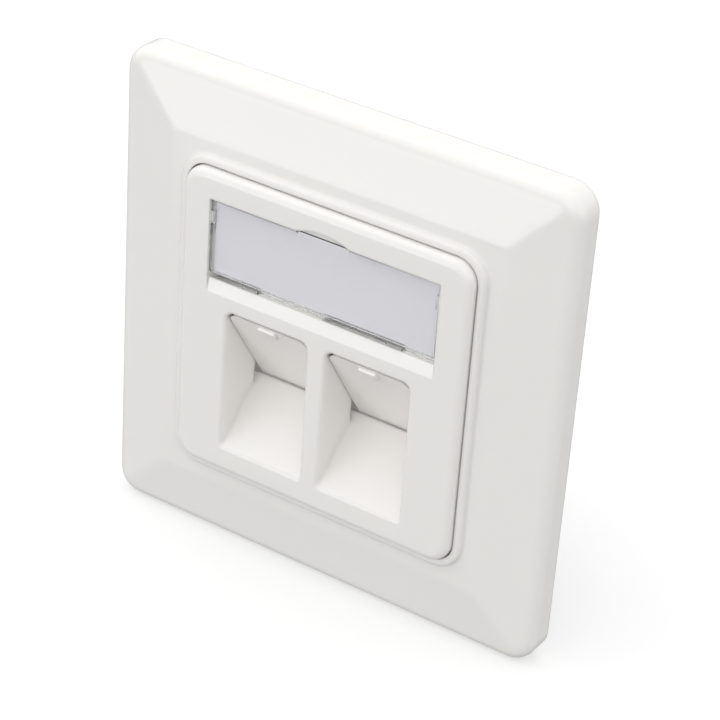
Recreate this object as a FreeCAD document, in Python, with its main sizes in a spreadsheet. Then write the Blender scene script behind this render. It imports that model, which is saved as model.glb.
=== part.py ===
import FreeCAD, Part

import math
import os

import Sketcher

# Two-port angled data outlet: a square cover frame, a centre plate with a label window and two dust
# shutters, and behind them the guide, the jack modules, their carrier and the steel support ring.
# X points right, Y points into the wall, Z points up. The wall's surface is Y = 0 and the origin is the
# middle of the cover on it, so a height above the wall is a negative Y. Lengths are millimetres.

SIZES = {
    # Cover frame
    "frame_size": 80.0,
    "frame_corner": 4.4,
    "bevel_angle": 7.5,
    "frame_edge_round": 2.2,
    "frame_wall": 1.8,
    "mitre_round": 8.0,
    "crease_height": 6.4,
    "crease_margin": 2.6,
    "crease_round": 7.0,
    "lip_width": 1.2,
    "lip_height": 7.15,
    "lip_corner": 4.8,
    "lip_bevel": 0.3,
    "lip_foot_round": 0.4,
    "ledge_reach": 2.2,
    "ledge_height": 5.2,
    "ledge_corner": 1.4,
    "collar_wall": 1.4,
    # Centre plate
    "plate_size": 51.4,
    "plate_corner": 3.6,
    "plate_height": 8.5,
    "plate_skin": 2.0,
    "plate_round": 1.2,
    "plate_gap": 0.25,
    # Label recess, cover and card
    "window_width": 41.2,
    "window_top": 21.15,
    "window_bottom": 7.8,
    "recess_depth": 1.5,
    "ramp_rise": 2.25,
    "ramp_depth": 0.35,
    "tray_wall": 1.5,
    "scoop_width": 9.8,
    "scoop_rise": 0.95,
    "scoop_depth": 0.6,
    "nub_reach": 0.5,
    "nub_drop": 2.05,
    "nub_height": 2.0,
    "nub_sink": 0.5,
    "cover_sink": 0.15,
    "cover_thickness": 1.0,
    "cover_gap": 0.15,
    "cover_foot": 1.1,
    "hook_spacing": 26.2,
    "hook_width": 2.8,
    "hook_radius": 0.2,
    "hook_drop": 0.55,
    "hinge_rise": 0.25,
    "rail_depth": 0.65,
    "slot_rise": 0.8,
    "slot_drop": 0.9,
    "slot_margin": 0.3,
    "slot_inner": 0.5,
    "nail_width": 9.4,
    "nail_bevel": 0.4,
    "card_thickness": 0.3,
    # Plug funnels
    "port_width": 15.24,
    "port_mullion": 3.26,
    "port_top": 3.05,
    "port_bottom": -21.2,
    "port_corner": 1.4,
    "port_edge_bevel": 0.3,
    "funnel_crease": 0.4,
    "apex_depth": 10.2,
    "plug_angle": 34.5,
    "funnel_wall": 2.0,
    "funnel_floor": 1.6,
    "funnel_wall_depth": 8.5,
    # Dust shutters and their guide
    "shutter_gap": 0.15,
    "shutter_thickness": 1.4,
    "shutter_corner": 2.0,
    "shutter_foot": 1.6,
    "flange_width": 1.0,
    "flange_front": 0.7,
    "slide_gap": 0.2,
    "slide_travel": 15.0,
    "lug_width": 3.1,
    "lug_length": 1.7,
    "lug_reach": 0.55,
    "guide_plate": 1.6,
    "guide_rib": 2.0,
    "plug_hole_width": 12.6,
    "plug_hole_height": 12.4,
    # Support ring
    "ring_margin": 1.2,
    "ring_corner": 8.0,
    "ring_thickness": 1.2,
    "ring_opening_gap": 1.0,
    "ring_opening_top": 12.0,
    "ring_opening_bottom": -22.0,
    "ring_opening_corner": 3.0,
    "box_screw_pitch": 60.0,
    "box_slot_width": 3.6,
    "box_slot_length": 5.0,
    # Screws
    "screw_radius": 1.5,
    "screw_head_radius": 2.75,
    "screw_clearance": 0.1,
    "plate_screw_inset": 3.0,
    "plate_screw_drop": 4.95,
    "plate_screw_bite": 1.0,
    "boss_radius": 3.4,
    "boss_gap": 0.3,
    "drive_width": 1.0,
    "drive_depth": 0.6,
    "carrier_screw_offset": 4.3,
    "carrier_screw_head": 1.8,
    # Module carrier
    "carrier_wall": 3.75,
    "carrier_depth": 8.0,
    "carrier_top": 9.0,
    "carrier_bottom": 9.6,
    "carrier_flange_reach": 7.5,
    "carrier_flange_height": 7.0,
    "carrier_flange_thickness": 2.0,
    "module_gap": 0.15,
    # Jack modules
    "jack_width": 14.6,
    "jack_height": 16.0,
    "jack_length": 14.6,
    "jack_stop_reach": 0.8,
    "jack_stop_length": 1.4,
    "plug_bore_width": 11.8,
    "plug_bore_height": 6.8,
    "plug_bore_depth": 12.6,
    "plug_bore_rise": 1.0,
    "latch_wide": 6.2,
    "latch_narrow": 3.3,
    "latch_step": 1.5,
    "contact_pitch": 1.02,
    "contact_width": 0.45,
    "contact_thickness": 0.35,
    "contact_drop": 3.2,
    "contact_reach": 6.0,
    "contact_inset": 2.2,
    "contact_slot": 1.0,
    "board_thickness": 1.4,
    "board_margin": 0.4,
    "block_depth": 8.0,
    "block_row_height": 4.6,
    "block_inset": 0.3,
    "slot_pitch": 3.2,
    "wire_slot_width": 0.9,
    "wire_slot_depth": 5.0,
    "blade_thickness": 0.5,
    "blade_width": 3.6,
    "blade_length": 4.0,
    "cap_wall": 1.1,
    "cap_depth": 5.2,
    "cap_gap": 0.15,
    "cap_entry_width": 11.0,
    "cap_entry_height": 8.0,
}
CONTACTS = 8
ROW_SLOTS = 4

doc = FreeCAD.newDocument("data_outlet")
sheet = doc.addObject("Spreadsheet::Sheet", "Sizes")
for row, (alias, number) in enumerate(SIZES.items(), start=1):
    sheet.set(f"A{row}", alias)
    sheet.set(f"B{row}", str(number))
    sheet.setAlias(f"B{row}", alias)
doc.recompute()


class Dim:
    """A length or angle: its present value, and the expression that binds it to the sheet."""

    def __init__(self, value, text):
        self.value = value
        self.text = text

    @staticmethod
    def of(other):
        return other if isinstance(other, Dim) else Dim(float(other), repr(float(other)))

    def joined(self, other, sign, value):
        return Dim(value, f"({self.text} {sign} {other.text})")

    def __add__(self, other):
        other = Dim.of(other)
        return self.joined(other, "+", self.value + other.value)

    def __sub__(self, other):
        other = Dim.of(other)
        return self.joined(other, "-", self.value - other.value)

    def __mul__(self, other):
        other = Dim.of(other)
        return self.joined(other, "*", self.value * other.value)

    def __truediv__(self, other):
        other = Dim.of(other)
        return self.joined(other, "/", self.value / other.value)

    def __radd__(self, other):
        return Dim.of(other) + self

    def __rsub__(self, other):
        return Dim.of(other) - self

    def __rmul__(self, other):
        return Dim.of(other) * self

    def __neg__(self):
        return Dim(-self.value, f"(-{self.text})")


class SheetSizes:
    """Gives each cell of the sheet as a Dim, by its alias."""

    def __getattr__(self, alias):
        return Dim(float(sheet.get(alias)), f"Sizes.{alias}")


D = SheetSizes()


def sine(angle):
    return Dim(math.sin(math.radians(angle.value)), f"sin({angle.text} * 1 deg)")


def cosine(angle):
    return Dim(math.cos(math.radians(angle.value)), f"cos({angle.text} * 1 deg)")


def tangent(angle):
    return Dim(math.tan(math.radians(angle.value)), f"tan({angle.text} * 1 deg)")


def bind(item, path, dim):
    item.setExpression(path, Dim.of(dim).text)


# Places that several pieces share

LIP_SIZE = D.plate_size + 2 * D.plate_gap + 2 * D.lip_width
CREASE_SIZE = LIP_SIZE + 2 * D.crease_margin
RIM_HEIGHT = D.crease_height - (D.frame_size - CREASE_SIZE) / 2 * tangent(D.bevel_angle)
LEDGE_SIZE = D.plate_size - 2 * D.ledge_reach
PLATE_FACE = -D.plate_height
PORT_PITCH = D.port_width + D.port_mullion
PORT_APEX_Z = D.port_top - D.apex_depth / tangent(D.plug_angle)
PORT_APEX_Y = PLATE_FACE + D.apex_depth
PORT_Y = PLATE_FACE + D.apex_depth / 2
PORT_Z = D.port_top - D.apex_depth / 2 / tangent(D.plug_angle)
PORT_HALF_LENGTH = D.apex_depth / 2 / sine(D.plug_angle)
RECESS_FLOOR = D.plate_height - D.recess_depth
TRAY_BACK = RECESS_FLOOR - D.tray_wall
GUIDE_FRONT = D.shutter_thickness + D.slide_gap
GUIDE_BACK = GUIDE_FRONT + D.guide_plate
WALL_EDGE = D.flange_front - D.slide_gap
CARRIER_BACK = GUIDE_BACK + D.carrier_depth
JACK_FRONT = GUIDE_BACK
JACK_BACK = JACK_FRONT + D.jack_length
BOARD_BACK = JACK_BACK + D.board_thickness
BLOCK_BACK = BOARD_BACK + D.block_depth
BORE_TOP = D.plug_bore_rise + D.plug_bore_height / 2
NUB_HIGH = D.window_top - D.nub_drop
NUB_LOW = NUB_HIGH - D.nub_height
PLATE_SCREW_X = D.window_width / 2 - D.plate_screw_inset
PLATE_SCREW_Z = D.window_top - D.plate_screw_drop
CARRIER_WIDTH = PORT_PITCH + D.jack_width + 2 * D.module_gap + 2 * D.carrier_wall
CARRIER_SCREW_X = CARRIER_WIDTH / 2 + D.carrier_screw_offset
PORT_SIDES = {"left": -1, "right": 1}


def slope_z(y):
    """Height of the funnel's floor at a depth y, on the line from the lower edge to the apex."""
    run = y - PLATE_FACE
    return D.port_bottom + run * (PORT_APEX_Z - D.port_bottom) / D.apex_depth


def incline_z(y, behind):
    """Height at depth y of a plane that lies parallel to the shutter, a distance behind its face."""
    return PORT_Z + behind / sine(D.plug_angle) - (y - PORT_Y) / tangent(D.plug_angle)


def under_skin(y):
    """Height in the tilted frame, at its depth y, that stays just behind the plate's skin."""
    skin_back = PLATE_FACE + D.plate_skin + D.slide_gap
    return (y * cosine(D.plug_angle) - skin_back + PORT_Y) / sine(D.plug_angle)


def tilted(y, z):
    """The Y, Z place in the outlet's frame of a point given in the tilted frame of the ports."""
    return (
        PORT_Y + y * cosine(D.plug_angle) - z * sine(D.plug_angle),
        PORT_Z + y * sine(D.plug_angle) + z * cosine(D.plug_angle),
    )


# Building helpers


def new_body(label, port_side=None):
    """A body in the outlet's frame or, with port_side of -1, 0 or 1, in the tilted frame of the ports."""
    body = doc.addObject("PartDesign::Body", label)
    body.Label = label
    if port_side is not None:
        body.Placement = FreeCAD.Placement(
            FreeCAD.Vector(), FreeCAD.Rotation(FreeCAD.Vector(1, 0, 0), D.plug_angle.value)
        )
        bind(body, "Placement.Base.x", PORT_PITCH / 2 * port_side)
        bind(body, "Placement.Base.y", PORT_Y)
        bind(body, "Placement.Base.z", PORT_Z)
        bind(body, "Placement.Rotation.Angle", D.plug_angle)
    return body


def new_sketch(body, name, plane, offset=0, shift=(0, 0)):
    """A sketch on an origin plane, moved along the plane's normal by offset and within it by shift."""
    origin_plane = next(item for item in body.Origin.OriginFeatures if item.Role == plane)
    sketch = body.newObject("Sketcher::SketchObject", f"{body.Name}_{name}")
    sketch.AttachmentSupport = [(origin_plane, "")]
    sketch.MapMode = "FlatFace"
    bind(sketch, "AttachmentOffset.Base.x", shift[0])
    bind(sketch, "AttachmentOffset.Base.y", shift[1])
    bind(sketch, "AttachmentOffset.Base.z", offset)
    return sketch


def front_sketch(body, name, height):
    """A sketch facing the viewer, at a height in front of the body's own XZ plane."""
    return new_sketch(body, name, "XZ_Plane", height)


def side_sketch(body, name, x=0):
    """A sketch of a Y, Z section at a given x."""
    return new_sketch(body, name, "YZ_Plane", x)


def fix_point(sketch, piece, end, x, y):
    """Binds one end of a line or arc, or the middle of a circle, to a place in the sketch."""
    for kind, dim in (("DistanceX", Dim.of(x)), ("DistanceY", Dim.of(y))):
        index = sketch.addConstraint(Sketcher.Constraint(kind, -1, 1, piece, end, dim.value))
        name = f"{kind}_{piece}_{end}"
        sketch.renameConstraint(index, name)
        bind(sketch, f"Constraints.{name}", dim)


def fix_radius(sketch, piece, radius):
    index = sketch.addConstraint(Sketcher.Constraint("Radius", piece, radius.value))
    name = f"Radius_{piece}"
    sketch.renameConstraint(index, name)
    bind(sketch, f"Constraints.{name}", radius)


def arc_between(start, end, radius):
    """A counter-clockwise arc shorter than a half circle."""
    chord = end - start
    middle = (start + end) * 0.5
    rise = math.sqrt(max(radius * radius - chord.Length * chord.Length / 4, 0.0))
    left = FreeCAD.Vector(-chord.y, chord.x, 0).normalize()
    centre = middle + left * rise
    first = math.atan2(start.y - centre.y, start.x - centre.x)
    last = math.atan2(end.y - centre.y, end.x - centre.x)
    return Part.ArcOfCircle(Part.Circle(centre, FreeCAD.Vector(0, 0, 1), radius), first, last)


def draw_outline(sketch, corners):
    """A closed outline. A corner is (x, y), or (x, y, radius) where an arc leads to the next corner."""
    corners = [tuple(Dim.of(value) for value in corner) for corner in corners]
    places = [FreeCAD.Vector(corner[0].value, corner[1].value, 0) for corner in corners]
    first = sketch.GeometryCount
    count = len(corners)
    for index, corner in enumerate(corners):
        start = places[index]
        end = places[(index + 1) % count]
        if len(corner) == 3:
            sketch.addGeometry(arc_between(start, end, corner[2].value), False)
        else:
            sketch.addGeometry(Part.LineSegment(start, end), False)
    for index, corner in enumerate(corners):
        following = first + (index + 1) % count
        sketch.addConstraint(Sketcher.Constraint("Coincident", first + index, 2, following, 1))
        fix_point(sketch, first + index, 1, corner[0], corner[1])
        if len(corner) == 3:
            fix_radius(sketch, first + index, corner[2])


def draw_rectangle(sketch, left, right, low, high):
    draw_outline(sketch, [(left, low), (right, low), (right, high), (left, high)])


def draw_rounded(sketch, left, right, low, high, radius):
    draw_outline(
        sketch,
        [
            (left + radius, low),
            (right - radius, low, radius),
            (right, low + radius),
            (right, high - radius, radius),
            (right - radius, high),
            (left + radius, high, radius),
            (left, high - radius),
            (left, low + radius, radius),
        ],
    )


def draw_square(sketch, size, radius):
    half = size / 2
    draw_rounded(sketch, -half, half, -half, half, radius)


def draw_circle(sketch, x, y, radius):
    x = Dim.of(x)
    y = Dim.of(y)
    centre = FreeCAD.Vector(x.value, y.value, 0)
    piece = sketch.addGeometry(Part.Circle(centre, FreeCAD.Vector(0, 0, 1), radius.value), False)
    fix_point(sketch, piece, 3, x, y)
    fix_radius(sketch, piece, radius)


def add_feature(body, kind, name, sketch, length=None, both_ways=False):
    feature = body.newObject(f"PartDesign::{kind}", f"{body.Name}_{name}")
    feature.Profile = sketch
    if both_ways:
        feature.SideType = "Symmetric"
    if length is not None:
        bind(feature, "Length", length)
    return feature


def pad(body, name, sketch, length, both_ways=False):
    return add_feature(body, "Pad", name, sketch, length, both_ways)


def pocket(body, name, sketch, length, both_ways=False):
    """A cut away from the viewer, checked to take material off."""
    doc.recompute()
    before = body.Shape.Volume
    feature = add_feature(body, "Pocket", name, sketch, length, both_ways)
    doc.recompute()
    if body.Shape.Volume >= before:
        raise RuntimeError(f"{feature.Name} cuts nothing")
    return feature


def revolve(body, kind, name, sketch):
    feature = add_feature(body, kind, name, sketch)
    feature.ReferenceAxis = (sketch, ["V_Axis"])
    feature.Angle = 360
    return feature


def mirror_across_x(body, name, feature):
    plane = next(item for item in body.Origin.OriginFeatures if item.Role == "YZ_Plane")
    mirrored = body.newObject("PartDesign::Mirrored", f"{body.Name}_{name}")
    mirrored.Originals = [feature]
    mirrored.MirrorPlane = (plane, [""])
    body.Tip = mirrored
    return mirrored


def repeat_along_x(body, name, feature, count, pitch):
    axis = next(item for item in body.Origin.OriginFeatures if item.Role == "X_Axis")
    pattern = body.newObject("PartDesign::LinearPattern", f"{body.Name}_{name}")
    pattern.Originals = [feature]
    pattern.Direction = (axis, [""])
    pattern.Occurrences = count
    bind(pattern, "Length", pitch * (count - 1))
    body.Tip = pattern
    return pattern


def near(value, target):
    return abs(value - target) < 1e-4


def pick_edges(feature, wanted):
    """Names of a feature's edges whose ends and middle all pass a test."""
    doc.recompute()
    names = []
    for index, edge in enumerate(feature.Shape.Edges, start=1):
        middle = edge.valueAt((edge.FirstParameter + edge.LastParameter) / 2)
        points = [vertex.Point for vertex in edge.Vertexes] + [middle]
        if all(wanted(point) for point in points):
            names.append(f"Edge{index}")
    return names


def ease_edges(body, kind, name, feature, wanted):
    """A rounding or bevel, still without its size, on the edges of a feature that pass a test."""
    names = pick_edges(feature, wanted)
    if not names:
        raise RuntimeError(f"{body.Name}: no edge for {name}")
    easing = body.newObject(f"PartDesign::{kind}", f"{body.Name}_{name}")
    easing.Base = (feature, names)
    return easing


def round_edges(body, name, feature, wanted, radius):
    rounding = ease_edges(body, "Fillet", name, feature, wanted)
    bind(rounding, "Radius", radius)
    return rounding


def bevel_edges(body, name, feature, wanted, size):
    bevel = ease_edges(body, "Chamfer", name, feature, wanted)
    bind(bevel, "Size", size)
    return bevel


# Cover frame


def add_frustum(body, kind, name, front, front_half, back, back_half):
    """A four-sided frustum with flat flanks, between two heights above the wall."""
    frustum = body.newObject(f"PartDesign::{kind}Wedge", f"{body.Name}_{name}")
    bind(frustum, "Ymin", -front)
    bind(frustum, "Ymax", -back)
    for axis in ("X", "Z"):
        bind(frustum, f"{axis}min", -front_half)
        bind(frustum, f"{axis}max", front_half)
        bind(frustum, f"{axis}2min", -back_half)
        bind(frustum, f"{axis}2max", back_half)
    return frustum


def build_outer_frame():
    """Bevelled square frame, hollow behind, with a lip and a ledge that the centre plate clamps."""
    body = new_body("outer_frame")
    half = D.frame_size / 2
    crease_half = CREASE_SIZE / 2
    blank_half = half + D.frame_corner
    blank_edge = RIM_HEIGHT - D.frame_corner * tangent(D.bevel_angle)
    blank = front_sketch(body, "blank", 0)
    draw_rectangle(blank, -blank_half, blank_half, -blank_half, blank_half)
    pad(body, "blank_pad", blank, blank_edge)
    add_frustum(body, "Additive", "bevel", D.crease_height, crease_half, blank_edge, blank_half)
    trim = front_sketch(body, "trim", D.crease_height)
    trim_half = blank_half + D.frame_corner
    draw_rectangle(trim, -trim_half, trim_half, -trim_half, trim_half)
    draw_square(trim, D.frame_size, D.frame_corner)
    trimmed = pocket(body, "trim_cut", trim, D.crease_height)
    round_bevel(body, trimmed)

    lip = front_sketch(body, "lip", RIM_HEIGHT)
    draw_square(lip, LIP_SIZE, D.lip_corner)
    lip_pad = pad(body, "lip_pad", lip, D.lip_height - RIM_HEIGHT)
    lip_edge = bevel_edges(
        body, "lip_edge", lip_pad, lambda p: near(p.y, -D.lip_height.value), D.lip_bevel
    )
    foot_reach = LIP_SIZE.value / 2 + 1e-3

    def on_foot(point):
        beside = abs(point.x) < foot_reach and abs(point.z) < foot_reach
        return near(point.y, -D.crease_height.value) and beside

    round_edges(body, "lip_foot", lip_edge, on_foot, D.lip_foot_round)

    inner = D.frame_size - 2 * D.frame_wall
    inner_corner = D.frame_corner - D.frame_wall
    roof_edge = RIM_HEIGHT - D.frame_wall
    roof_top = D.crease_height - D.frame_wall
    hollow = front_sketch(body, "hollow", roof_edge)
    draw_square(hollow, inner, inner_corner)
    pocket(body, "hollow_cut", hollow, roof_edge)
    roof_half = inner / 2 - inner_corner / 2
    add_frustum(body, "Subtractive", "roof", roof_top, crease_half, roof_edge, roof_half)

    opening = D.plate_size + 2 * D.plate_gap
    opening_corner = D.plate_corner + D.plate_gap
    collar = front_sketch(body, "collar", D.ring_thickness)
    draw_square(collar, opening + 2 * D.collar_wall, opening_corner + D.collar_wall)
    pad(body, "collar_pad", collar, D.crease_height - D.frame_wall / 2 - D.ring_thickness)
    throat = front_sketch(body, "throat", D.lip_height)
    draw_square(throat, LEDGE_SIZE, D.ledge_corner)
    pocket(body, "throat_cut", throat, D.lip_height)
    seat = front_sketch(body, "seat", D.lip_height)
    draw_square(seat, opening, opening_corner)
    pocket(body, "seat_cut", seat, D.lip_height - D.ledge_height)
    return body


def round_bevel(body, feature):
    """Soft mitres and crease on the bevel, and a round outer edge."""
    half = D.frame_size.value / 2
    corner = D.frame_corner.value

    def on_mitre(point):
        return near(abs(point.x), abs(point.z)) and point.y < -RIM_HEIGHT.value + 1e-4

    def on_crease(point):
        return near(point.y, -D.crease_height.value)

    def on_rim(point):
        across = abs(point.x) - half + corner
        up = abs(point.z) - half + corner
        side = near(max(across, up), corner)
        return (side or near(math.hypot(across, up), corner)) and point.y < -RIM_HEIGHT.value + 1e-3

    mitres = round_edges(body, "mitre_rounding", feature, on_mitre, D.mitre_round)
    creases = round_edges(body, "crease_rounding", mitres, on_crease, D.crease_round)
    round_edges(body, "edge_rounding", creases, on_rim, D.frame_edge_round)


# Centre plate


def build_centre_plate():
    """Moulded plate: rounded skirt, label tray, screw bosses and two slanted plug funnels."""
    body = new_body("centre_plate")
    skirt = front_sketch(body, "skirt", D.ledge_height)
    draw_square(skirt, D.plate_size, D.plate_corner)
    block = pad(body, "skirt_pad", skirt, D.plate_height - D.ledge_height)
    round_edges(body, "face_round", block, lambda p: near(p.y, PLATE_FACE.value), D.plate_round)
    shell = front_sketch(body, "shell", D.plate_height - D.plate_skin)
    draw_square(shell, LEDGE_SIZE, D.ledge_corner)
    pocket(body, "shell_cut", shell, D.plate_height - D.plate_skin - D.ledge_height)

    add_label_tray(body)
    add_funnels(body)
    add_label_recess(body)
    add_screw_holes(body)
    return body


def add_label_tray(body):
    """The floor and walls behind the label, with a boss for each plate screw."""
    half = D.window_width / 2 + D.tray_wall
    tray = front_sketch(body, "tray", TRAY_BACK)
    draw_rectangle(tray, -half, half, D.window_bottom - D.tray_wall, D.window_top + D.tray_wall)
    pad(body, "tray_pad", tray, D.plate_height - D.plate_skin / 2 - TRAY_BACK)
    foot = D.ring_thickness + D.boss_gap
    bosses = front_sketch(body, "bosses", foot)
    for side in PORT_SIDES.values():
        draw_circle(bosses, PLATE_SCREW_X * side, PLATE_SCREW_Z, D.boss_radius)
    pad(body, "boss_pad", bosses, TRAY_BACK + D.tray_wall / 2 - foot)


def add_funnels(body):
    """Slanted walls behind the face, then the two funnels cut through the face into them."""
    inside = PLATE_FACE + D.plate_skin / 2
    wall_rear = PLATE_FACE + D.funnel_wall_depth
    floor_end = PORT_APEX_Y - D.slide_gap
    walls = side_sketch(body, "walls")
    draw_outline(
        walls,
        [
            (inside, slope_z(inside) - D.funnel_floor),
            (floor_end, slope_z(floor_end) - D.funnel_floor),
            (floor_end, slope_z(floor_end)),
            (wall_rear, slope_z(wall_rear)),
            (wall_rear, incline_z(wall_rear, WALL_EDGE)),
            (inside, incline_z(inside, WALL_EDGE)),
        ],
    )
    pad(body, "walls_pad", walls, PORT_PITCH + D.port_width + 2 * D.funnel_wall, both_ways=True)

    outside = PLATE_FACE - D.plate_skin
    funnel = None
    for name, side in PORT_SIDES.items():
        section = side_sketch(body, f"funnel_{name}", PORT_PITCH / 2 * side)
        draw_outline(
            section,
            [
                (outside, D.port_bottom),
                (PLATE_FACE, D.port_bottom),
                (PORT_APEX_Y, PORT_APEX_Z),
                (PORT_APEX_Y, D.port_top),
                (outside, D.port_top),
            ],
        )
        funnel = pocket(body, f"funnel_cut_{name}", section, D.port_width, both_ways=True)

    def top_corner(point):
        return near(point.z, D.port_top.value) and on_port_side(point)

    def on_port_side(point):
        offset = abs(abs(point.x) - PORT_PITCH.value / 2)
        return near(offset, D.port_width.value / 2)

    def on_slope(point):
        return near(point.z, slope_z(Dim.of(point.y)).value) and on_port_side(point)

    def on_mouth(point):
        across = PORT_PITCH.value / 2 + D.port_width.value / 2
        inside = abs(point.x) < across + 1e-4 and point.z < D.port_top.value + 1e-4
        return near(point.y, PLATE_FACE.value) and inside and point.z > D.port_bottom.value - 1e-4

    corners = round_edges(body, "port_corners", funnel, top_corner, D.port_corner)
    creases = round_edges(body, "funnel_creases", corners, on_slope, D.funnel_crease)
    bevel_edges(body, "port_mouths", creases, on_mouth, D.port_edge_bevel)


def add_label_recess(body):
    """The label recess with its ramp, hook slots, finger scoop and two side nubs."""
    half = D.window_width / 2
    recess = front_sketch(body, "recess", D.plate_height)
    draw_rectangle(recess, -half, half, D.window_bottom, D.window_top)
    pocket(body, "recess_cut", recess, D.recess_depth)

    ramp = side_sketch(body, "ramp")
    draw_outline(
        ramp,
        [
            (PLATE_FACE - D.ramp_depth, D.window_bottom - 2 * D.ramp_rise),
            (PLATE_FACE + D.ramp_depth, D.window_bottom),
            (PLATE_FACE - D.ramp_depth, D.window_bottom),
        ],
    )
    pocket(body, "ramp_cut", ramp, D.window_width, both_ways=True)

    rail_back = D.plate_height - D.rail_depth
    slot_low = D.window_bottom - D.slot_drop
    slot_high = D.window_bottom + D.slot_rise
    slot_end = D.hook_spacing / 2 + D.hook_width / 2 + D.slot_margin
    slot_start = D.hook_spacing / 2 - D.hook_width / 2 - D.slot_margin
    slots = front_sketch(body, "hook_slots", rail_back)
    draw_rectangle(slots, -half, -slot_start, slot_low, slot_high)
    draw_rectangle(slots, D.slot_inner, slot_end, slot_low, slot_high)
    pocket(body, "hook_slot_cut", slots, rail_back - TRAY_BACK)

    scoop = front_sketch(body, "scoop", D.plate_height)
    chord = D.scoop_width / 2
    low = D.window_top - D.scoop_rise
    radius = chord * chord / (2 * D.scoop_rise) + D.scoop_rise / 2
    draw_outline(scoop, [(-chord, low), (chord, low), (chord, D.window_top, radius), (-chord, D.window_top)])
    pocket(body, "scoop_cut", scoop, D.scoop_depth)

    nubs = front_sketch(body, "nubs", RECESS_FLOOR - D.tray_wall / 2)
    draw_rectangle(nubs, half - D.nub_reach, half + D.tray_wall / 2, NUB_LOW, NUB_HIGH)
    draw_rectangle(nubs, -half - D.tray_wall / 2, -half + D.nub_reach, NUB_LOW, NUB_HIGH)
    pad(body, "nub_pad", nubs, D.recess_depth - D.nub_sink + D.tray_wall / 2)


def draw_plate_screw(body, name, clearance, tip):
    """Half section of a countersunk plate screw, or of its hole, with its axis along Y."""
    section = new_sketch(body, name, "XY_Plane", PLATE_SCREW_Z, (PLATE_SCREW_X, 0))
    head = -RECESS_FLOOR
    radius = D.screw_radius + clearance
    head_radius = D.screw_head_radius + clearance
    draw_outline(
        section,
        [
            (0, head),
            (head_radius, head),
            (radius, head + D.screw_head_radius - D.screw_radius),
            (radius, tip),
            (0, tip),
        ],
    )
    return section


def add_screw_holes(body):
    """Countersunk holes for the plate screws in the floor of the label recess."""
    section = draw_plate_screw(body, "screw_hole", D.screw_clearance, -D.ring_thickness)
    hole = revolve(body, "Groove", "screw_hole_cut", section)
    mirror_across_x(body, "screw_hole_pair", hole)


# Label cover and card


def build_label_window():
    """Clear cover with two hook tabs and a rear strip below, nub notches and a fingernail bevel."""
    body = new_body("label_window")
    half = D.window_width / 2 - D.cover_gap
    front = D.plate_height - D.cover_sink
    back = front - D.cover_thickness
    low = D.window_bottom + D.cover_foot
    high = D.window_top - D.cover_gap
    notch = D.window_width / 2 - D.nub_reach - D.cover_gap
    notch_low = NUB_LOW - D.cover_gap
    notch_high = NUB_HIGH + D.cover_gap
    pane = front_sketch(body, "pane", back)
    draw_outline(
        pane,
        [
            (-half, low),
            (half, low),
            (half, notch_low),
            (notch, notch_low),
            (notch, notch_high),
            (half, notch_high),
            (half, high),
            (-half, high),
            (-half, notch_high),
            (-notch, notch_high),
            (-notch, notch_low),
            (-half, notch_low),
        ],
    )
    pad(body, "pane_pad", pane, D.cover_thickness)

    nail = side_sketch(body, "nail")
    bevel = D.nail_bevel
    draw_outline(
        nail,
        [
            (-front - bevel, high - 2 * bevel),
            (-front + 2 * bevel, high + bevel),
            (-front - bevel, high + bevel),
        ],
    )
    pocket(body, "nail_cut", nail, D.nail_width, both_ways=True)

    hook_z = D.window_bottom - D.hook_drop
    overlap = low + D.hook_radius
    strip = front_sketch(body, "strip", back)
    strip_start = D.hook_width / 2 - D.hook_spacing / 2
    draw_rectangle(strip, strip_start, half, D.window_bottom + D.hinge_rise, overlap)
    pad(body, "strip_pad", strip, 2 * D.hook_radius)
    for name, side in PORT_SIDES.items():
        middle = D.hook_spacing / 2 * side
        hook = front_sketch(body, f"hook_{name}", back)
        draw_rectangle(hook, middle - D.hook_width / 2, middle + D.hook_width / 2, hook_z, overlap)
        pad(body, f"hook_pad_{name}", hook, 2 * D.hook_radius)
    return body


def build_label_card():
    """Paper strip that lies on the floor of the label recess, between the side nubs."""
    body = new_body("label_card")
    half = D.window_width / 2 - D.nub_reach - D.cover_gap
    card = front_sketch(body, "card", RECESS_FLOOR)
    draw_rectangle(card, -half, half, D.window_bottom + D.cover_foot, D.window_top - D.cover_gap)
    pad(body, "card_pad", card, D.card_thickness)
    return body


# Dust shutters and their guide


def build_dust_shutter(name, side):
    """Sliding shutter: a panel that ends under the face's upper edge, side flanges and a finger lug."""
    body = new_body(f"dust_shutter_{name}", side)
    foot = -PORT_HALF_LENGTH - D.shutter_foot
    top = PORT_HALF_LENGTH - D.shutter_gap / cosine(D.plug_angle)
    top_back = top - D.shutter_thickness * tangent(D.plug_angle)
    width = D.port_width - 2 * D.shutter_gap
    panel = side_sketch(body, "panel")
    draw_outline(panel, [(0, foot), (D.shutter_thickness, foot), (D.shutter_thickness, top_back), (0, top)])
    panel_pad = pad(body, "panel_pad", panel, width, both_ways=True)

    def top_corner(point):
        return near(abs(point.x), width.value / 2) and point.z > top_back.value - 1e-4

    round_edges(body, "corners", panel_pad, top_corner, D.shutter_corner)

    flange_half = width / 2 + D.flange_width
    flange = front_sketch(body, "flange", -D.shutter_thickness)
    draw_rectangle(flange, -flange_half, flange_half, foot, under_skin(D.flange_front))
    pad(body, "flange_pad", flange, D.shutter_thickness - D.flange_front)

    lug_top = top - D.lug_reach * tangent(D.plug_angle)
    lug = side_sketch(body, "lug")
    draw_outline(
        lug,
        [
            (-D.lug_reach, top - D.lug_length),
            (D.flange_front, top - D.lug_length - D.lug_reach),
            (D.flange_front, lug_top),
            (-D.lug_reach, lug_top),
        ],
    )
    pad(body, "lug_pad", lug, D.lug_width, both_ways=True)
    return body


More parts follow.
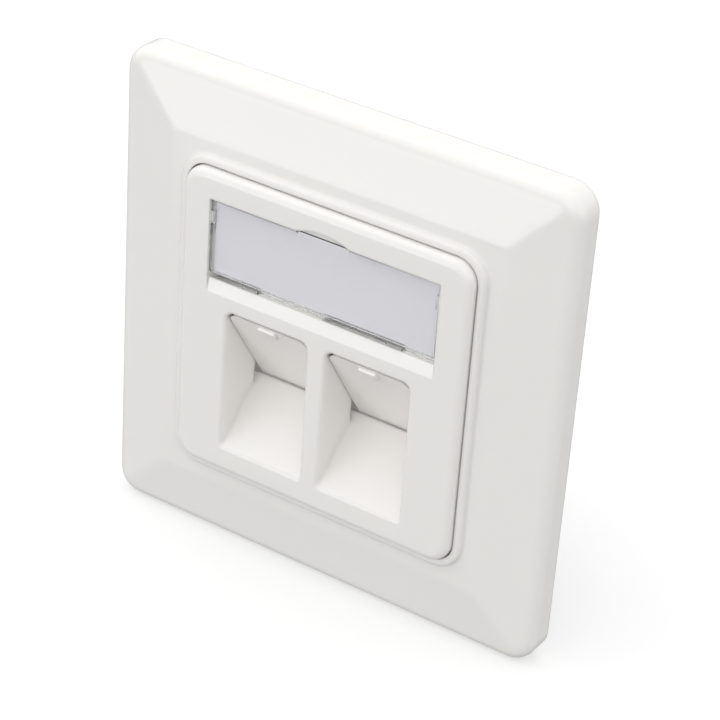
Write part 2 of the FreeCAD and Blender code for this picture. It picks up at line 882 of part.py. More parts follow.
def build_shutter_guide():
    """Plate behind both shutters with a plug hole each, and ribs that keep the shutters on their way."""
    body = new_body("shutter_guide", 0)
    rail = D.port_width / 2 - D.shutter_gap + D.flange_width + D.slide_gap
    outer = PORT_PITCH / 2 + rail + D.guide_rib
    foot = -PORT_HALF_LENGTH - D.shutter_foot - D.slide_travel
    top = under_skin(GUIDE_FRONT)
    plate = side_sketch(body, "plate")
    draw_outline(
        plate,
        [
            (WALL_EDGE, foot),
            (GUIDE_BACK, foot),
            (GUIDE_BACK, top),
            (GUIDE_FRONT, top),
            (WALL_EDGE, under_skin(WALL_EDGE)),
        ],
    )
    pad(body, "plate_pad", plate, 2 * outer, both_ways=True)
    hole_half = D.plug_hole_width / 2
    hole_rise = D.plug_hole_height / 2
    for name, side in PORT_SIDES.items():
        middle = PORT_PITCH / 2 * side
        channel = front_sketch(body, f"channel_{name}", -WALL_EDGE)
        draw_rectangle(channel, middle - rail, middle + rail, foot - D.slide_gap, top + D.slide_gap)
        pocket(body, f"channel_cut_{name}", channel, GUIDE_FRONT - WALL_EDGE)
        hole = front_sketch(body, f"hole_{name}", -GUIDE_FRONT)
        draw_rectangle(hole, middle - hole_half, middle + hole_half, -hole_rise, hole_rise)
        pocket(body, f"hole_cut_{name}", hole, D.guide_plate)
    return body


# Support ring and screws


def build_support_ring():
    """Stamped steel ring with the opening for the modules, two box slots and the screw holes."""
    body = new_body("support_ring")
    ring = front_sketch(body, "ring", 0)
    draw_square(ring, D.frame_size - 2 * D.frame_wall - 2 * D.ring_margin, D.ring_corner)
    pad(body, "ring_pad", ring, D.ring_thickness)
    half = CARRIER_WIDTH / 2 + D.ring_opening_gap
    opening = front_sketch(body, "opening", D.ring_thickness)
    draw_rounded(opening, -half, half, D.ring_opening_bottom, D.ring_opening_top, D.ring_opening_corner)
    pocket(body, "opening_cut", opening, D.ring_thickness)

    reach = D.box_slot_length / 2
    radius = D.box_slot_width / 2
    slots = front_sketch(body, "box_slots", D.ring_thickness)
    for side in PORT_SIDES.values():
        middle = D.box_screw_pitch / 2 * side
        draw_outline(
            slots,
            [
                (middle - reach + radius, -radius),
                (middle + reach - radius, -radius, radius),
                (middle + reach, 0, radius),
                (middle + reach - radius, radius),
                (middle - reach + radius, radius, radius),
                (middle - reach, 0, radius),
            ],
        )
    pocket(body, "box_slot_cut", slots, D.ring_thickness)

    hole_radius = D.screw_radius + D.screw_clearance
    holes = front_sketch(body, "screw_holes", D.ring_thickness)
    for side in PORT_SIDES.values():
        draw_circle(holes, PLATE_SCREW_X * side, PLATE_SCREW_Z, hole_radius)
        draw_circle(holes, CARRIER_SCREW_X * side, 0, hole_radius)
    pocket(body, "screw_hole_cut", holes, D.ring_thickness)
    return body


def add_drive_slots(body, x, z, height):
    """A straight drive slot across each head of a pair of screws."""
    half = D.drive_width / 2
    slots = front_sketch(body, "drive_slots", height)
    for side in PORT_SIDES.values():
        reach = D.screw_head_radius
        draw_rectangle(slots, x * side - half, x * side + half, z - reach, z + reach)
    pocket(body, "drive_slot_cut", slots, D.drive_depth)


def build_plate_screws():
    """Two countersunk screws from the floor of the label recess to the support ring."""
    body = new_body("plate_screws")
    body.AllowCompound = True
    section = draw_plate_screw(body, "section", 0, D.plate_screw_bite)
    turned = revolve(body, "Revolution", "turned", section)
    mirror_across_x(body, "pair", turned)
    add_drive_slots(body, PLATE_SCREW_X, PLATE_SCREW_Z, RECESS_FLOOR)
    return body


def build_carrier_screws():
    """Two pan-head screws from behind, through the carrier's flanges into the ring."""
    body = new_body("carrier_screws")
    body.AllowCompound = True
    seat = D.carrier_flange_thickness
    head_end = seat + D.carrier_screw_head
    section = new_sketch(body, "section", "XY_Plane", 0, (CARRIER_SCREW_X, 0))
    draw_outline(
        section,
        [
            (0, -D.ring_thickness),
            (D.screw_radius, -D.ring_thickness),
            (D.screw_radius, seat),
            (D.screw_head_radius, seat),
            (D.screw_head_radius, head_end),
            (0, head_end),
        ],
    )
    turned = revolve(body, "Revolution", "turned", section)
    mirror_across_x(body, "pair", turned)
    add_drive_slots(body, CARRIER_SCREW_X, Dim.of(0), D.drive_depth - head_end)
    return body


# Module carrier


def build_module_carrier():
    """Slanted holder with a pocket for each jack module, and two flanges behind the ring."""
    body = new_body("module_carrier")
    block = side_sketch(body, "block")
    draw_outline(
        block,
        [
            tilted(GUIDE_BACK, -D.carrier_bottom),
            tilted(CARRIER_BACK, -D.carrier_bottom),
            tilted(CARRIER_BACK, D.carrier_top),
            tilted(GUIDE_BACK, D.carrier_top),
        ],
    )
    pad(body, "block_pad", block, CARRIER_WIDTH, both_ways=True)

    flange_half = CARRIER_WIDTH / 2 + D.carrier_flange_reach
    flange_rise = D.carrier_flange_height / 2
    flange = front_sketch(body, "flange", -D.carrier_flange_thickness)
    draw_rectangle(flange, -flange_half, flange_half, -flange_rise, flange_rise)
    pad(body, "flange_pad", flange, D.carrier_flange_thickness)

    hole_rise = D.jack_height / 2 + D.module_gap
    for name, side in PORT_SIDES.items():
        hole = side_sketch(body, f"hole_{name}", PORT_PITCH / 2 * side)
        draw_outline(
            hole,
            [
                tilted(GUIDE_BACK - D.module_gap, -hole_rise),
                tilted(CARRIER_BACK + D.module_gap, -hole_rise),
                tilted(CARRIER_BACK + D.module_gap, hole_rise),
                tilted(GUIDE_BACK - D.module_gap, hole_rise),
            ],
        )
        pocket(body, f"hole_cut_{name}", hole, D.jack_width + 2 * D.module_gap, both_ways=True)

    screw_holes = front_sketch(body, "screw_holes", 0)
    for side in PORT_SIDES.values():
        draw_circle(screw_holes, CARRIER_SCREW_X * side, 0, D.screw_radius + D.screw_clearance)
    pocket(body, "screw_hole_cut", screw_holes, D.carrier_flange_thickness)
    return body


# Jack modules


def build_jack_housing(name, side):
    """Front half of a module: the plug bore with its latch slot, and a stop behind the carrier."""
    body = new_body(f"jack_housing_{name}", side)
    half = D.jack_width / 2
    rise = D.jack_height / 2
    shell = front_sketch(body, "shell", -JACK_BACK)
    draw_rectangle(shell, -half, half, -rise, rise)
    pad(body, "shell_pad", shell, D.jack_length)
    stop = front_sketch(body, "stop", -CARRIER_BACK - D.jack_stop_length)
    draw_rectangle(stop, -half, half, -rise - D.jack_stop_reach, rise + D.jack_stop_reach)
    pad(body, "stop_pad", stop, D.jack_stop_length)

    bore_half = D.plug_bore_width / 2
    wide = D.latch_wide / 2
    narrow = D.latch_narrow / 2
    bore_low = BORE_TOP - D.plug_bore_height
    step_low = bore_low - D.latch_step
    latch_low = step_low - D.latch_step
    bore = front_sketch(body, "bore", -JACK_FRONT)
    draw_outline(
        bore,
        [
            (-bore_half, bore_low),
            (-wide, bore_low),
            (-wide, step_low),
            (-narrow, step_low),
            (-narrow, latch_low),
            (narrow, latch_low),
            (narrow, step_low),
            (wide, step_low),
            (wide, bore_low),
            (bore_half, bore_low),
            (bore_half, BORE_TOP),
            (-bore_half, BORE_TOP),
        ],
    )
    pocket(body, "bore_cut", bore, D.plug_bore_depth)

    slot_half = D.contact_pitch * CONTACTS / 2
    slot = front_sketch(body, "contact_slot", -JACK_FRONT - D.contact_inset)
    draw_rectangle(slot, -slot_half, slot_half, BORE_TOP - D.contact_slot, BORE_TOP + D.contact_slot)
    pocket(body, "contact_slot_cut", slot, D.jack_length - D.contact_inset)
    return body


def build_jack_contacts(name, side):
    """Eight spring contacts: from the board along the top of the bore, then bent down and back."""
    body = new_body(f"jack_contacts_{name}", side)
    body.AllowCompound = True
    first = -D.contact_pitch * (CONTACTS - 1) / 2
    top = BORE_TOP + D.contact_slot
    low = top - D.contact_thickness
    bend = JACK_FRONT + D.contact_inset + D.contact_thickness
    tip = bend + D.contact_reach
    wire = side_sketch(body, "wire", first)
    draw_outline(
        wire,
        [
            (bend, low),
            (tip, low - D.contact_drop),
            (tip, low - D.contact_drop + D.contact_thickness),
            (bend + D.contact_thickness * 2, low),
            (JACK_BACK, low),
            (JACK_BACK, top),
            (bend, top),
        ],
    )
    spring = pad(body, "spring", wire, D.contact_width, both_ways=True)
    repeat_along_x(body, "row", spring, CONTACTS, D.contact_pitch)
    return body


def build_circuit_board(name, side):
    body = new_body(f"circuit_board_{name}", side)
    half = D.jack_width / 2 - D.board_margin
    rise = D.jack_height / 2 - D.board_margin
    board = front_sketch(body, "board", -BOARD_BACK)
    draw_rectangle(board, -half, half, -rise, rise)
    pad(body, "board_pad", board, D.board_thickness)
    return body


def draw_slot_rows(sketch, width, height):
    """Two rows of four upright slots or blades, one row along each long side of a punch-down block."""
    row_rise = (D.jack_height - D.block_row_height) / 2 - D.block_inset
    for row_side in (-1, 1):
        low = row_rise * row_side - height / 2
        for index in range(ROW_SLOTS):
            middle = D.slot_pitch * (index - (ROW_SLOTS - 1) / 2)
            draw_rectangle(sketch, middle - width / 2, middle + width / 2, low, low + height)


def build_punchdown_block(name, side):
    """Rear block with two rows of four wire slots and a channel between them for the cable."""
    body = new_body(f"punchdown_block_{name}", side)
    half = D.jack_width / 2 - D.block_inset
    rise = D.jack_height / 2 - D.block_inset
    block = front_sketch(body, "block", -BLOCK_BACK)
    draw_rectangle(block, -half, half, -rise, rise)
    pad(body, "block_pad", block, D.block_depth)
    slots = front_sketch(body, "slots", D.wire_slot_depth - BLOCK_BACK)
    draw_slot_rows(slots, D.wire_slot_width, D.block_row_height)
    pocket(body, "slot_cut", slots, D.wire_slot_depth)
    channel_rise = rise - D.block_row_height
    channel = front_sketch(body, "channel", D.wire_slot_depth - BLOCK_BACK)
    draw_rectangle(channel, -half, half, -channel_rise, channel_rise)
    pocket(body, "channel_cut", channel, D.wire_slot_depth)
    return body


def build_punchdown_contacts(name, side):
    """Eight slotted blades, one in each wire slot."""
    body = new_body(f"punchdown_contacts_{name}", side)
    body.AllowCompound = True
    blades = front_sketch(body, "blades", D.wire_slot_depth - BLOCK_BACK - D.blade_length)
    draw_slot_rows(blades, D.blade_thickness, D.blade_width)
    pad(body, "blade_pad", blades, D.blade_length)
    return body


def build_wire_cap(name, side):
    """Cap pushed over the punch-down block, open in the middle for the cable."""
    body = new_body(f"wire_cap_{name}", side)
    inner_half = D.jack_width / 2 - D.block_inset + D.cap_gap
    inner_rise = D.jack_height / 2 - D.block_inset + D.cap_gap
    half = inner_half + D.cap_wall
    rise = inner_rise + D.cap_wall
    mouth = BLOCK_BACK - D.cap_depth
    cap = front_sketch(body, "cap", -BLOCK_BACK - D.cap_wall)
    draw_rounded(cap, -half, half, -rise, rise, D.cap_wall)
    pad(body, "cap_pad", cap, D.cap_depth + D.cap_wall)
    hollow = front_sketch(body, "hollow", -mouth)
    draw_rectangle(hollow, -inner_half, inner_half, -inner_rise, inner_rise)
    pocket(body, "hollow_cut", hollow, D.cap_depth)
    entry_half = D.cap_entry_width / 2
    entry_rise = D.cap_entry_height / 2
    entry = front_sketch(body, "entry", -BLOCK_BACK)
    draw_rounded(entry, -entry_half, entry_half, -entry_rise, entry_rise, D.cap_wall)
    pocket(body, "entry_cut", entry, D.cap_wall)
    return body


# Whole outlet


def build_outlet():
    pieces = [
        build_outer_frame(),
        build_centre_plate(),
        build_label_window(),
        build_label_card(),
        build_shutter_guide(),
        build_support_ring(),
        build_plate_screws(),
        build_module_carrier(),
        build_carrier_screws(),
    ]
    for name, side in PORT_SIDES.items():
        pieces += [
            build_dust_shutter(name, side),
            build_jack_housing(name, side),
            build_jack_contacts(name, side),
            build_circuit_board(name, side),
            build_punchdown_block(name, side),
            build_punchdown_contacts(name, side),
            build_wire_cap(name, side),
        ]
    return pieces


def check_and_write(pieces):
    doc.recompute()
    for item in doc.Objects:
        if "Invalid" in item.State or "Error" in item.State:
            raise RuntimeError(f"{item.Name} did not build: {item.State}")
    for piece in pieces:
        if piece.Shape.isNull() or not piece.Shape.isValid():
            raise RuntimeError(f"{piece.Label} has no valid shape")
    os.makedirs("parts", exist_ok=True)
    for piece in pieces:
        piece.Shape.exportStep(f"parts/{piece.Label}.step")
        print(piece.Label, len(piece.Shape.Solids), "solids", round(piece.Shape.Volume, 1), "mm3")


check_and_write(build_outlet())
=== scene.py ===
# %% [markdown]
# # A two-port data outlet
# The object is a square white wall cover, 80 mm wide, with a centre plate that holds a label window and two
# slanted plug openings closed by dust shutters. Behind it are a steel support ring and two jack modules.
# Its solids come from CAD, already in place and in metres: X points right, Y into the wall and Z up.
# So this lesson is about finishes, soft edges, light and the camera. Patterns, depths and edge radii are
# given in millimetres, which MM turns to metres. The table, the lamps and the camera are placed in metres,
# and angles are in degrees.

import math

import bmesh
import bpy
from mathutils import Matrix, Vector


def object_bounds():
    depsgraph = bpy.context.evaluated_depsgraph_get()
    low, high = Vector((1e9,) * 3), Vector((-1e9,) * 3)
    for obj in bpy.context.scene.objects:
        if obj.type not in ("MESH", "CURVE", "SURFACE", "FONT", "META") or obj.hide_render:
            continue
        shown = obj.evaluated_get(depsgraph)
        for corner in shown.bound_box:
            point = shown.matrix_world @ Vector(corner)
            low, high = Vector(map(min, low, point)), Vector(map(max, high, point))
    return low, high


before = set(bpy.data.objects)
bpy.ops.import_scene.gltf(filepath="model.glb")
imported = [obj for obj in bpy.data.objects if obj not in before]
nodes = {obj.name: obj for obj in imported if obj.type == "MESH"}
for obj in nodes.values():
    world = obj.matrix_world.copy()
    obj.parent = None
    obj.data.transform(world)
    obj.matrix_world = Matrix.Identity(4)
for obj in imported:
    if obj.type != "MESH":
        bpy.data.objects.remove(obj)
cad_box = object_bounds()
MM = 0.001
print("box in mm:", [round(length / MM, 2) for length in cad_box[1] - cad_box[0]])

# %% [markdown]
# ## Tools for the finishes
# A finish is a small tree of nodes that ends in a Principled shader. Setting each value and each link on a
# line of its own would bury the finish in code, so one function adds a node with its settings and its links,
# and two more open and close a material round them. Colours are written as sRGB hex values, as a paint chart
# gives them, and turned to the linear values that the renderer works with.

# %% Nodes, colours and materials


def linear(hex_colour):
    """Linear RGBA of an sRGB hex colour."""
    channels = [int(hex_colour[index : index + 2], 16) / 255 for index in (1, 3, 5)]
    return [c / 12.92 if c <= 0.04045 else ((c + 0.055) / 1.055) ** 2.4 for c in channels] + [1.0]


def in_use(sockets, name):
    """The socket of this name that is in use: a mix node has one of each name for each type of data."""
    return next(socket for socket in sockets if socket.name == name and socket.enabled)


def add_node(tree, kind, output, inputs, **options):
    """Adds a node, whose inputs are values or the sockets that lead to it; returns the output named."""
    node = tree.nodes.new(kind)
    for name, value in options.items():
        setattr(node, name, value)
    for name, value in inputs.items():
        socket = in_use(node.inputs, name)
        if isinstance(value, bpy.types.NodeSocket):
            tree.links.new(value, socket)
        else:
            socket.default_value = value
    return in_use(node.outputs, output) if output else None


def open_material(name):
    """A new material, its tree, and the Object coordinates that are all the tree holds so far."""
    material = bpy.data.materials.new(name)
    material.use_nodes = True
    tree = material.node_tree
    tree.nodes.clear()
    return material, tree, add_node(tree, "ShaderNodeTexCoord", "Object", {})


def close_material(material, inputs):
    """Ends a material's tree in a Principled shader with these inputs."""
    tree = material.node_tree
    surface = add_node(tree, "ShaderNodeBsdfPrincipled", "BSDF", inputs)
    add_node(tree, "ShaderNodeOutputMaterial", None, {"Surface": surface})
    print("material:", material.name)


# %% [markdown]
# ## Moulded plastic
# The frame and the plate are injection-moulded ABS in a warm signal white. The white is pale enough, and lets
# enough light into its first millimetre, that the deep plug openings stay bright inside. The polished mould
# leaves a gloss that is not quite flat: a faint orange peel, about 2 mm from crest to crest, that wobbles the
# reflections. A picture of real plastic could give this, but noises need no file and have no seams. One makes
# the peel, one varies the gloss over a few millimetres where hands have polished it, and a wide one shifts
# the white a little. A bevel node also eases the light over the small chamfers at the mouths of the openings.
# The shutters and the plastic pieces behind the cover come from moulds with a satin texture. They get the
# same recipe with less gloss, and the jack housings and wire caps, of polycarbonate, get it in grey.

# %% Moulded plastics
ABS_INDEX = 1.53
SCATTER_SHARE = 0.4
SCATTER_DEPTH = 0.8
SCATTER_TINT = (1.0, 0.95, 0.85)
TONE_WIDTH, WEAR_WIDTH, PEEL_WIDTH = 18, 5, 2
EDGE_SAMPLES = 4


def per_mm(size):
    """Texture scale, in cycles per metre, of a pattern whose features are this many millimetres wide."""
    return 1.0 / (size * MM)


def moulded_plastic(name, colours, roughness, peel, edge):
    """Moulded plastic between two colours and two roughnesses, with peel depth and edge radius in mm."""
    material, tree, place = open_material(name)
    tone = add_node(
        tree, "ShaderNodeTexNoise", "Fac", {"Vector": place, "Scale": per_mm(TONE_WIDTH), "Detail": 3.0}
    )
    wear = add_node(
        tree, "ShaderNodeTexNoise", "Fac", {"Vector": place, "Scale": per_mm(WEAR_WIDTH), "Detail": 4.0}
    )
    skin = add_node(
        tree, "ShaderNodeTexNoise", "Fac", {"Vector": place, "Scale": per_mm(PEEL_WIDTH), "Detail": 1.0}
    )
    ends = {"Factor": tone, "A": linear(colours[0]), "B": linear(colours[1])}
    limits = {"Value": wear, "To Min": roughness[0], "To Max": roughness[1]}
    rounding = add_node(tree, "ShaderNodeBevel", "Normal", {"Radius": edge * MM}, samples=EDGE_SAMPLES)
    relief = {"Height": skin, "Distance": peel * MM, "Normal": rounding}
    close_material(
        material,
        {
            "Base Color": add_node(tree, "ShaderNodeMix", "Result", ends, data_type="RGBA"),
            "Roughness": add_node(tree, "ShaderNodeMapRange", "Result", limits),
            "Normal": add_node(tree, "ShaderNodeBump", "Normal", relief),
            "IOR": ABS_INDEX,
            "Subsurface Weight": SCATTER_SHARE,
            "Subsurface Radius": SCATTER_TINT,
            "Subsurface Scale": SCATTER_DEPTH * MM,
        },
    )
    return material


cover_white = moulded_plastic(
    "gloss_moulded_abs_white", ("#F6F4F1", "#F4F2EF"), roughness=(0.12, 0.18), peel=0.006, edge=0.5
)
shutter_white = moulded_plastic(
    "satin_moulded_abs_white", ("#F8F5F2", "#F6F3EF"), roughness=(0.34, 0.44), peel=0.010, edge=0.3
)
inner_white = moulded_plastic(
    "satin_moulded_abs_inner_white", ("#EEECE8", "#E8E6E0"), roughness=(0.36, 0.5), peel=0.010, edge=0.2
)
housing_grey = moulded_plastic(
    "satin_moulded_polycarbonate_grey", ("#C1C3C4", "#B7B9BB"), roughness=(0.32, 0.46), peel=0.010, edge=0.2
)

# %% [markdown]
# ## Clear label cover
# The cover is a thin injection-moulded pane of clear polystyrene. Glass of the real index is the usual way,
# but the small steps at the pane's edges would then show black. So the body bends the light less than the
# real one, and a coat with the index of polystyrene gives the reflections, with a slight ripple. A clear
# shader also stops a lamp's direct light, which would leave the card behind too dark, so the pane casts no
# shadow.

# %% Clear polystyrene
BODY_INDEX, POLYSTYRENE_INDEX = 1.25, 1.58
RIPPLE_WIDTH, RIPPLE_DEPTH = 9, 0.004
clear_cover, tree, place = open_material("clear_moulded_polystyrene")
ripple = add_node(
    tree, "ShaderNodeTexNoise", "Fac", {"Vector": place, "Scale": per_mm(RIPPLE_WIDTH), "Detail": 1.0}
)
relief = {"Height": ripple, "Distance": RIPPLE_DEPTH * MM}
close_material(
    clear_cover,
    {
        "Base Color": linear("#FBFCFC"),
        "IOR": BODY_INDEX,
        "Transmission Weight": 1.0,
        "Roughness": 0.0,
        "Coat Weight": 1.0,
        "Coat Roughness": 0.03,
        "Coat IOR": POLYSTYRENE_INDEX,
        "Coat Normal": add_node(tree, "ShaderNodeBump", "Normal", relief),
    },
)
nodes["label_window"].visible_shadow = False

# %% [markdown]
# ## Label card
# The card is uncoated paper, a cooler white than the plastic. Its fibres are about 0.05 mm wide, too fine to
# show here, so one noise draws them at 0.3 mm, as a faint mottle and a slight tooth.

# %% Paper
FIBRE_WIDTH, TOOTH_DEPTH = 0.3, 0.02
paper, tree, place = open_material("uncoated_paper_white")
fibre = add_node(
    tree,
    "ShaderNodeTexNoise",
    "Fac",
    {"Vector": place, "Scale": per_mm(FIBRE_WIDTH), "Detail": 5.0, "Roughness": 0.7},
)
ends = {"Factor": fibre, "A": linear("#EBE9EE"), "B": linear("#E4E2E9")}
relief = {"Height": fibre, "Distance": TOOTH_DEPTH * MM}
close_material(
    paper,
    {
        "Base Color": add_node(tree, "ShaderNodeMix", "Result", ends, data_type="RGBA"),
        "Roughness": 0.9,
        "IOR": 1.5,
        "Normal": add_node(tree, "ShaderNodeBump", "Normal", relief),
    },
)

# %% [markdown]
# ## Metals and the circuit board
# The ring and the screws are steel with bright zinc. Rolling leaves fine lines along the sheet, which a noise
# stretched one way gives; they are drawn 0.4 mm wide so that they show. The plating has a faint blue-grey
# bloom. The contacts are phosphor bronze with a thin gold flash, rubbed duller in places. The board is
# glass-fibre laminate under a green solder mask with a satin shine. Its weave, about 0.5 mm, is too fine to
# show, so it is drawn as faint waves nearly 4 mm apart.

# %% Zinc-plated steel
LINE_WIDTH, LINE_STRETCH, LINE_DEPTH = 0.4, 0.06, 0.008
BLOOM_WIDTH = 7
zinc_steel, tree, place = open_material("zinc_plated_steel")
along = add_node(tree, "ShaderNodeMapping", "Vector", {"Vector": place, "Scale": (LINE_STRETCH, 1.0, 1.0)})
lines = add_node(
    tree, "ShaderNodeTexNoise", "Fac", {"Vector": along, "Scale": per_mm(LINE_WIDTH), "Detail": 3.0}
)
bloom = add_node(
    tree, "ShaderNodeTexNoise", "Fac", {"Vector": place, "Scale": per_mm(BLOOM_WIDTH), "Detail": 4.0}
)
ends = {"Factor": bloom, "A": linear("#C9CCD0"), "B": linear("#B4B9C1")}
limits = {"Value": lines, "To Min": 0.26, "To Max": 0.46}
relief = {"Height": lines, "Distance": LINE_DEPTH * MM}
close_material(
    zinc_steel,
    {
        "Metallic": 1.0,
        "Base Color": add_node(tree, "ShaderNodeMix", "Result", ends, data_type="RGBA"),
        "Roughness": add_node(tree, "ShaderNodeMapRange", "Result", limits),
        "Normal": add_node(tree, "ShaderNodeBump", "Normal", relief),
    },
)

# %% Gilt bronze
RUB_WIDTH = 1.2
gilt, tree, place = open_material("gold_flashed_phosphor_bronze")
rub = add_node(
    tree, "ShaderNodeTexNoise", "Fac", {"Vector": place, "Scale": per_mm(RUB_WIDTH), "Detail": 3.0}
)
ends = {"Factor": rub, "A": linear("#E6C06A"), "B": linear("#D3A452")}
limits = {"Value": rub, "To Min": 0.2, "To Max": 0.36}
close_material(
    gilt,
    {
        "Metallic": 1.0,
        "Base Color": add_node(tree, "ShaderNodeMix", "Result", ends, data_type="RGBA"),
        "Roughness": add_node(tree, "ShaderNodeMapRange", "Result", limits),
    },
)

# %% Solder mask
WEAVE_WIDTH = 0.6  # millimetres to a radian of the wave, so 3.8 mm from crest to crest
WAVE_RADIANS = 20  # what the wave node turns by in one unit
solder_mask, tree, place = open_material("solder_mask_green_laminate")
weave = add_node(
    tree,
    "ShaderNodeTexWave",
    "Fac",
    {"Vector": place, "Scale": per_mm(WEAVE_WIDTH) / WAVE_RADIANS, "Distortion": 2.0, "Detail": 2.0},
)
ends = {"Factor": weave, "A": linear("#1E6B3C"), "B": linear("#2A7D49")}
limits = {"Value": weave, "To Min": 0.28, "To Max": 0.4}
close_material(
    solder_mask,
    {
        "IOR": 1.55,
        "Base Color": add_node(tree, "ShaderNodeMix", "Result", ends, data_type="RGBA"),
        "Roughness": add_node(tree, "ShaderNodeMapRange", "Result", limits),
    },
)

# %% [markdown]
# ## Dress the solids
# Each solid gets the finish of its real piece. A table of families shows them all at a glance: the left and
# the right one of a pair share a family, which is their name without its side.

# %% Assign the finishes
FINISHES = {
    "outer_frame": cover_white,
    "centre_plate": cover_white,
    "dust_shutter": shutter_white,
    "label_window": clear_cover,
    "label_card": paper,
    "shutter_guide": inner_white,
    "module_carrier": inner_white,
    "support_ring": zinc_steel,
    "plate_screws": zinc_steel,
    "carrier_screws": zinc_steel,
    "jack_housing": housing_grey,
    "punchdown_block": inner_white,
    "wire_cap": housing_grey,
    "jack_contacts": gilt,
    "punchdown_contacts": gilt,
    "circuit_board": solder_mask,
}


def family_of(name):
    """A node's name without its side."""
    return name.removesuffix("_left").removesuffix("_right")


for name, solid in nodes.items():
    solid.data.materials.clear()
    solid.data.materials.append(FINISHES[family_of(name)])
print("dressed:", len(nodes), "solids in", len(set(FINISHES.values())), "finishes")

# %% [markdown]
# ## Soft edges
# No moulded or stamped edge is perfectly sharp: a radius of a few tenths of a millimetre catches the light.
# The cover has its larger radii in CAD. The pieces behind it get theirs here, from modifiers, because these
# leave the mesh as it is. A weld closes the seams between faces, a planar dissolve turns each flat face back
# to one polygon, and a bevel of two segments rounds what is left. Weighted normals then keep the flat faces
# flat in the shading.

# %% Round the edges behind the cover
EDGE_RADII = {
    "module_carrier": 0.3,
    "jack_housing": 0.25,
    "wire_cap": 0.4,
    "punchdown_block": 0.2,
    "shutter_guide": 0.2,
    "support_ring": 0.15,
    "circuit_board": 0.1,
}
SEAM_WIDTH = 0.001
FLAT_ANGLE, SHARP_ANGLE = 0.5, 40
for name, solid in nodes.items():
    radius = EDGE_RADII.get(family_of(name))
    if radius is None:
        continue
    weld = solid.modifiers.new("close_seams", "WELD")
    weld.merge_threshold = SEAM_WIDTH * MM
    flat = solid.modifiers.new("whole_faces", "DECIMATE")
    flat.decimate_type = "DISSOLVE"
    flat.angle_limit = math.radians(FLAT_ANGLE)
    bevel = solid.modifiers.new("edge_radius", "BEVEL")
    bevel.width = radius * MM
    bevel.segments = 2
    bevel.limit_method = "ANGLE"
    bevel.angle_limit = math.radians(SHARP_ANGLE)
    solid.modifiers.new("flat_shading", "WEIGHTED_NORMAL").keep_sharp = True
    print("edges of", name, "rounded by", radius, "mm")

# %% [markdown]
# ## Table
# The cover stands on its lower edge on a white table. The table is a backdrop only: it takes the shadow of
# the cover, but it neither stops light nor sends any back, because the lower half of the dome, two steps on,
# stands for a real table's light. A little emission brings it up to the photograph's white background.

# %% Table top
TABLE_REACH = 3.0
TABLE_GLOW = 0.36
WHITE = (1.0, 1.0, 1.0, 1.0)
mesh = bpy.data.meshes.new("table_top")
form = bmesh.new()
bmesh.ops.create_grid(form, x_segments=1, y_segments=1, size=TABLE_REACH)
bmesh.ops.translate(form, verts=form.verts, vec=(0.0, 0.0, cad_box[0].z))
form.to_mesh(mesh)
form.free()
floor = bpy.data.objects.new("table_top", mesh)
bpy.context.scene.collection.objects.link(floor)
table_white = open_material("matt_white_table")[0]
close_material(
    table_white,
    {
        "Base Color": linear("#D4D4D4"),
        "Roughness": 1.0,
        "Specular IOR Level": 0.0,
        "Emission Color": WHITE,
        "Emission Strength": TABLE_GLOW,
    },
)
mesh.materials.append(table_white)
floor.visible_diffuse = False
floor.visible_glossy = False
floor.visible_transmission = False
floor.visible_shadow = False
print("floor at", round(cad_box[0].z / MM, 2), "mm")

# %% [markdown]
# ## Lamps
# In the photograph the upper bevel and the slopes that face a little upward are the brightest, because they
# mirror something bright and low in front, on the left. So a bounce card stands there, with weak fills beside
# the camera, to the right and high on the left. Square area lamps give the soft edges of such cards.

# %% Soft lamps
LAMP_DISTANCE = 0.9
# Degrees to the right of the cover's front, degrees above it, side of the square in metres, watts.
LAMPS = {
    "front_bounce_card": (-29, -11, 0.38, 1.04),
    "camera_side_fill": (31, 30, 0.45, 0.54),
    "right_fill": (95, 12, 0.45, 0.455),
    "upper_left_soft_box": (-75, 55, 0.6, 0.91),
}
for name, (azimuth, elevation, side, power) in LAMPS.items():
    lamp = bpy.data.lights.new(name, "AREA")
    lamp.shape = "SQUARE"
    lamp.size = side
    lamp.energy = power
    holder = bpy.data.objects.new(name, lamp)
    turn, rise = math.radians(azimuth), math.radians(elevation)
    toward = Vector((math.sin(turn) * math.cos(rise), -math.cos(turn) * math.cos(rise), math.sin(rise)))
    holder.location = LAMP_DISTANCE * toward
    holder.rotation_euler = toward.to_track_quat("Z", "Y").to_euler()
    bpy.context.scene.collection.objects.link(holder)
    print("lamp:", name, power, "W")

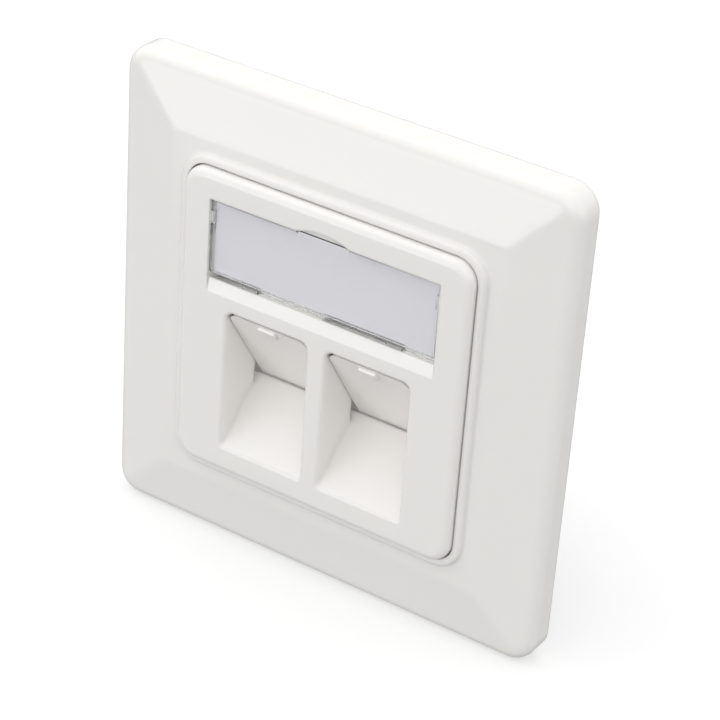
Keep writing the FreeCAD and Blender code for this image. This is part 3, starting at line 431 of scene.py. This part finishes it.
# %% [markdown]
# ## Dome
# Most of the light comes from all round, as in a white room. The dome is bright above and dim below, with a
# soft change about the horizon, so that faces turned down are darker than faces turned up. The Standard view
# shows these whites as they are set, where the default would dull them.

# %% Bright dome
DIM_BELOW, BRIGHT_ABOVE = -0.1, 0.3
LOWER_GLOW, UPPER_GLOW = 0.42, 1.0
world = bpy.data.worlds.new("bright_dome")
bpy.context.scene.world = world
world.use_nodes = True
tree = world.node_tree
tree.nodes.clear()
direction = add_node(tree, "ShaderNodeTexCoord", "Generated", {})
height = add_node(tree, "ShaderNodeSeparateXYZ", "Z", {"Vector": direction})
change = {
    "Value": height,
    "From Min": DIM_BELOW,
    "From Max": BRIGHT_ABOVE,
    "To Min": LOWER_GLOW,
    "To Max": UPPER_GLOW,
}
glow = add_node(tree, "ShaderNodeMapRange", "Result", change, interpolation_type="SMOOTHSTEP")
dome = add_node(tree, "ShaderNodeBackground", "Background", {"Color": WHITE, "Strength": glow})
add_node(tree, "ShaderNodeOutputWorld", None, {"Surface": dome})
bpy.context.scene.view_settings.view_transform = "Standard"
print("dome glows from", LOWER_GLOW, "below to", UPPER_GLOW, "above")

# %% [markdown]
# ## Camera
# The photograph was taken with a long lens from the upper right, and its crop is off-centre. A lens shift
# would copy the crop, but it would push the cover out of the picture in the other views. So this camera has
# none, and its place, turn and lens are the ones that come closest to the photograph without it.

# %% Long lens
LENS_ANGLE = 16.03582
CAMERA_PLACE = (0.182151, -0.285608, 0.194223)
CAMERA_TURN = (59.77404, -3.60876, 34.25344)
NEAREST = 0.01
camera_data = bpy.data.cameras.new("long_lens")
camera_data.angle = math.radians(LENS_ANGLE)
camera_data.clip_start = NEAREST
camera = bpy.data.objects.new("long_lens", camera_data)
camera.location = CAMERA_PLACE
camera.rotation_euler = [math.radians(angle) for angle in CAMERA_TURN]
bpy.context.scene.collection.objects.link(camera)
bpy.context.scene.camera = camera
print("camera at", [round(v, 3) for v in camera.location])

# %% [markdown]
# ## Finish
# The last cell prints how many solids the scene holds.

# %% Finish
print("boxes written for", len(nodes), "solids")
